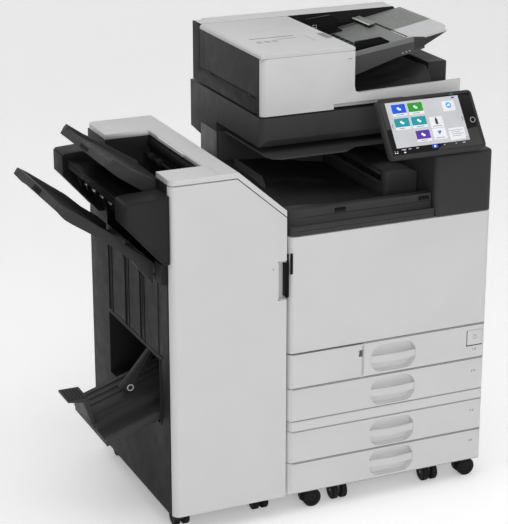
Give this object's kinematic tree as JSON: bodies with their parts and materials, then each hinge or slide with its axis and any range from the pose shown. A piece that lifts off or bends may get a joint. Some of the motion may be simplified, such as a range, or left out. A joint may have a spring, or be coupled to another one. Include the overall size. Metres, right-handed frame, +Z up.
{
  "type": "multifunction copier with booklet finisher",
  "caption": "Floor-standing office copier with tilting document feeder, pull-out paper trays, tilting touch panel and a docked booklet finisher with rising output trays.",
  "frame": {"origin": "centre of the whole machine's bounding box on the floor, under the levelling feet", "axes": "+X to the viewer's right facing the operating side, from finisher to copier; +Y from the front covers to the rear; +Z up"},
  "size_m": [1.183, 0.685, 1.21],
  "materials": {
    "black_plastic": "matte",
    "cover_dark": "satin",
    "cover_white": "satin",
    "frame_steel": "matte",
    "glass": "clear",
    "light_grey": "matte",
    "rubber": "matte",
    "screen": "glossy",
    "toner": "matte",
    "tray_grey": "matte"
  },
  "bodies": {
    "copier": {"base_frame": "frame_steel", "left_cover": "cover_white", "right_cover": "cover_white", "rear_cover": "cover_white", "power_inlet": "black_plastic", "front_band": "cover_white", "control_cover": "cover_white", "output_tray": "cover_dark", "exit_unit": "cover_dark", "scanner_housing": "cover_white", "platen_glass": "glass", "toner_bottles": "toner", "imaging_unit": "black_plastic", "transfer_belt": "rubber", "fuser_unit": "black_plastic"},
    "finisher": {"finisher_frame": "frame_steel", "finisher_top_cover": "cover_white", "exit_hood": "cover_dark", "proof_tray": "cover_dark", "booklet_tray": "cover_dark"},
    "panel": {"panel_housing": "cover_dark", "panel_screen": "screen"},
    "booklet_arm": {"booklet_arm": "cover_dark"},
    "booklet_stop": {"booklet_stop": "cover_dark"},
    "bypass_tray": {"bypass_tray": "cover_white"},
    "exit_rollers": {"exit_rollers": "rubber"},
    "feeder_base": {"feeder_base": "cover_white"},
    "feeder_cover": {"feeder_cover": "cover_white"},
    "feeder_flap": {"feeder_flap": "light_grey"},
    "feeder_guide_front": {"feeder_guide_front": "black_plastic"},
    "feeder_guide_rear": {"feeder_guide_rear": "black_plastic"},
    "feeder_tray": {"feeder_tray": "tray_grey"},
    "finisher_door": {"finisher_door": "cover_white"},
    "finisher_left_caster_fork": {"finisher_left_caster_fork": "black_plastic"},
    "finisher_left_caster_wheels": {"finisher_left_caster_wheels": "rubber"},
    "finisher_rear_wheels": {"finisher_rear_wheels": "rubber"},
    "finisher_right_caster_fork": {"finisher_right_caster_fork": "black_plastic"},
    "finisher_right_caster_wheels": {"finisher_right_caster_wheels": "rubber"},
    "front_cover": {"front_cover": "cover_white"},
    "inner_left_wheels": {"inner_left_wheels": "rubber"},
    "inner_right_wheels": {"inner_right_wheels": "rubber"},
    "left_caster_fork": {"left_caster_fork": "black_plastic"},
    "left_caster_wheels": {"left_caster_wheels": "rubber"},
    "lower_exit_rollers": {"lower_exit_rollers": "rubber"},
    "panel_button": {"panel_button": "black_plastic"},
    "power_button": {"power_button": "black_plastic"},
    "power_flap": {"power_flap": "cover_white"},
    "rear_wheels": {"rear_wheels": "rubber"},
    "right_caster_fork": {"right_caster_fork": "black_plastic"},
    "right_caster_wheels": {"right_caster_wheels": "rubber"},
    "right_door": {"right_door": "cover_white"},
    "scan_carriage": {"scan_carriage": "frame_steel"},
    "shift_tray": {"shift_tray": "cover_dark"},
    "stapler_unit": {"stapler_unit": "black_plastic"},
    "tray_1": {"tray_1": "cover_white"},
    "tray_2": {"tray_2": "cover_white"},
    "tray_3": {"tray_3": "cover_white"},
    "tray_4": {"tray_4": "cover_white"},
    "upper_exit_rollers": {"upper_exit_rollers": "rubber"},
    "waste_toner_door": {"waste_toner_door": "cover_white"}
  },
  "joints": [
    {"name": "front_cover_hinge", "type": "hinge", "parent": "copier", "child": "front_cover", "pos_m": [-0.0165, -0.3097, 0.4655], "axis": [1, 0, 0], "range_deg": [0, 85]},
    {"name": "waste_toner_door_hinge", "type": "hinge", "parent": "copier", "child": "waste_toner_door", "pos_m": [-0.006, -0.304, 0], "axis": [0, 0, -1], "range_deg": [0, 85]},
    {"name": "tray_1_slide", "type": "slide", "parent": "copier", "child": "tray_1", "axis": [0, -1, 0], "range_m": [0, 0.4]},
    {"name": "tray_2_slide", "type": "slide", "parent": "copier", "child": "tray_2", "axis": [0, -1, 0], "range_m": [0, 0.4]},
    {"name": "tray_3_slide", "type": "slide", "parent": "copier", "child": "tray_3", "axis": [0, -1, 0], "range_m": [0, 0.4]},
    {"name": "tray_4_slide", "type": "slide", "parent": "copier", "child": "tray_4", "axis": [0, -1, 0], "range_m": [0, 0.4]},
    {"name": "power_flap_hinge", "type": "hinge", "parent": "copier", "child": "power_flap", "pos_m": [-0.0165, -0.3096, 0.4024], "axis": [1, 0, 0], "range_deg": [0, 80]},
    {"name": "power_button_press", "type": "slide", "parent": "copier", "child": "power_button", "axis": [0, 1, 0], "range_m": [0, 0.0025], "stiffness_N_per_m": 400, "springref_m": -0.001},
    {"name": "exit_rollers_spin", "type": "hinge", "parent": "copier", "child": "exit_rollers", "pos_m": [0.3155, -0.3145, 0.862], "axis": [0, 1, 0], "continuous": true},
    {"name": "scan_carriage_slide", "type": "slide", "parent": "copier", "child": "scan_carriage", "axis": [1, 0, 0], "range_m": [0, 0.42]},
    {"name": "feeder_lid_hinge", "type": "hinge", "parent": "copier", "child": "feeder_base", "pos_m": [-0.0165, 0.3315, 1.051], "axis": [-1, 0, 0], "range_deg": [0, 65]},
    {"name": "feeder_cover_hinge", "type": "hinge", "parent": "feeder_base", "child": "feeder_cover", "pos_m": [-0.016, -0.3145, 1.08975], "axis": [0, -1, 0], "range_deg": [0, 60]},
    {"name": "feeder_tray_hinge", "type": "hinge", "parent": "feeder_base", "child": "feeder_tray", "pos_m": [0.2095, -0.3145, 1.14], "axis": [0, -1, 0], "range_deg": [0, 12]},
    {"name": "feeder_guide_front_slide", "type": "slide", "parent": "feeder_tray", "child": "feeder_guide_front", "axis": [0, 1, 0], "range_m": [0, 0.085]},
    {"name": "feeder_guide_rear_slide", "type": "slide", "parent": "feeder_tray", "child": "feeder_guide_rear", "axis": [0, -1, 0], "range_m": [0, 0.085]},
    {"name": "feeder_flap_hinge", "type": "hinge", "parent": "feeder_tray", "child": "feeder_flap", "pos_m": [0.473, -0.3145, 1.184], "axis": [0, -1, 0], "range_deg": [0, 90]},
    {"name": "panel_tilt_hinge", "type": "hinge", "parent": "copier", "child": "panel", "pos_m": [0.4515, -0.2845, 0.972], "axis": [1, 0, 0], "range_deg": [-35, 15]},
    {"name": "panel_button_press", "type": "slide", "parent": "panel", "child": "panel_button", "axis": [0, 0.809, -0.5878], "range_m": [0, 0.0012], "stiffness_N_per_m": 300, "springref_m": -0.0005},
    {"name": "right_door_hinge", "type": "hinge", "parent": "copier", "child": "right_door", "pos_m": [0.5689, -0.3145, 0.276], "axis": [0, 1, 0], "range_deg": [0, 60]},
    {"name": "bypass_tray_hinge", "type": "hinge", "parent": "right_door", "child": "bypass_tray", "pos_m": [0.567, -0.3145, 0.4795], "axis": [0, 1, 0], "range_deg": [0, 75]},
    {"name": "left_caster_swivel", "type": "hinge", "parent": "copier", "child": "left_caster_fork", "pos_m": [0.0485, -0.2705, 0], "axis": [0, 0, 1], "continuous": true},
    {"name": "left_caster_roll", "type": "hinge", "parent": "left_caster_fork", "child": "left_caster_wheels", "pos_m": [0.0665, -0.2705, 0.0255], "axis": [0, 1, 0], "continuous": true},
    {"name": "right_caster_swivel", "type": "hinge", "parent": "copier", "child": "right_caster_fork", "pos_m": [0.5205, -0.2705, 0], "axis": [0, 0, 1], "continuous": true},
    {"name": "right_caster_roll", "type": "hinge", "parent": "right_caster_fork", "child": "right_caster_wheels", "pos_m": [0.5385, -0.2705, 0.0255], "axis": [0, 1, 0], "continuous": true},
    {"name": "inner_left_roll", "type": "hinge", "parent": "copier", "child": "inner_left_wheels", "pos_m": [0.1505, -0.2665, 0.0255], "axis": [1, 0, 0], "continuous": true},
    {"name": "inner_right_roll", "type": "hinge", "parent": "copier", "child": "inner_right_wheels", "pos_m": [0.4275, -0.2665, 0.0255], "axis": [1, 0, 0], "continuous": true},
    {"name": "rear_roll", "type": "hinge", "parent": "copier", "child": "rear_wheels", "pos_m": [0.0435, 0.2055, 0.0255], "axis": [1, 0, 0], "continuous": true},
    {"name": "finisher_dock_slide", "type": "slide", "parent": "copier", "child": "finisher", "axis": [-1, 0, 0], "range_m": [0, 0.25]},
    {"name": "finisher_door_hinge", "type": "hinge", "parent": "finisher", "child": "finisher_door", "pos_m": [-0.3285, -0.3045, 0], "axis": [0, 0, -1], "range_deg": [0, 88]},
    {"name": "shift_tray_slide", "type": "slide", "parent": "finisher", "child": "shift_tray", "axis": [0, 0, -1], "range_m": [0, 0.15]},
    {"name": "booklet_stop_hinge", "type": "hinge", "parent": "finisher", "child": "booklet_stop", "pos_m": [-0.4935, -0.3145, 0.283], "axis": [0, 1, 0], "range_deg": [0, 50]},
    {"name": "booklet_arm_hinge", "type": "hinge", "parent": "finisher", "child": "booklet_arm", "pos_m": [-0.2785, -0.3145, 0.455], "axis": [0, 1, 0], "range_deg": [0, 25]},
    {"name": "upper_exit_rollers_spin", "type": "hinge", "parent": "finisher", "child": "upper_exit_rollers", "pos_m": [-0.2265, -0.3145, 0.905], "axis": [0, 1, 0], "continuous": true},
    {"name": "lower_exit_rollers_spin", "type": "hinge", "parent": "finisher", "child": "lower_exit_rollers", "pos_m": [-0.3685, -0.3145, 0.812], "axis": [0, 1, 0], "continuous": true},
    {"name": "stapler_slide", "type": "slide", "parent": "finisher", "child": "stapler_unit", "axis": [0, 1, 0], "range_m": [-0.18, 0.18]},
    {"name": "finisher_left_caster_swivel", "type": "hinge", "parent": "finisher", "child": "finisher_left_caster_fork", "pos_m": [-0.2955, -0.2185, 0], "axis": [0, 0, 1], "continuous": true},
    {"name": "finisher_left_caster_roll", "type": "hinge", "parent": "finisher_left_caster_fork", "child": "finisher_left_caster_wheels", "pos_m": [-0.2955, -0.2365, 0.0255], "axis": [1, 0, 0], "continuous": true},
    {"name": "finisher_right_caster_swivel", "type": "hinge", "parent": "finisher", "child": "finisher_right_caster_fork", "pos_m": [-0.0695, -0.2185, 0], "axis": [0, 0, 1], "continuous": true},
    {"name": "finisher_right_caster_roll", "type": "hinge", "parent": "finisher_right_caster_fork", "child": "finisher_right_caster_wheels", "pos_m": [-0.0695, -0.2365, 0.0255], "axis": [1, 0, 0], "continuous": true},
    {"name": "finisher_rear_roll", "type": "hinge", "parent": "finisher", "child": "finisher_rear_wheels", "pos_m": [-0.0765, 0.2255, 0.0255], "axis": [1, 0, 0], "continuous": true}
  ],
  "couplings": [
    {"joint": "feeder_guide_rear_slide", "follows": "feeder_guide_front_slide", "ratio": 1}
  ]
}
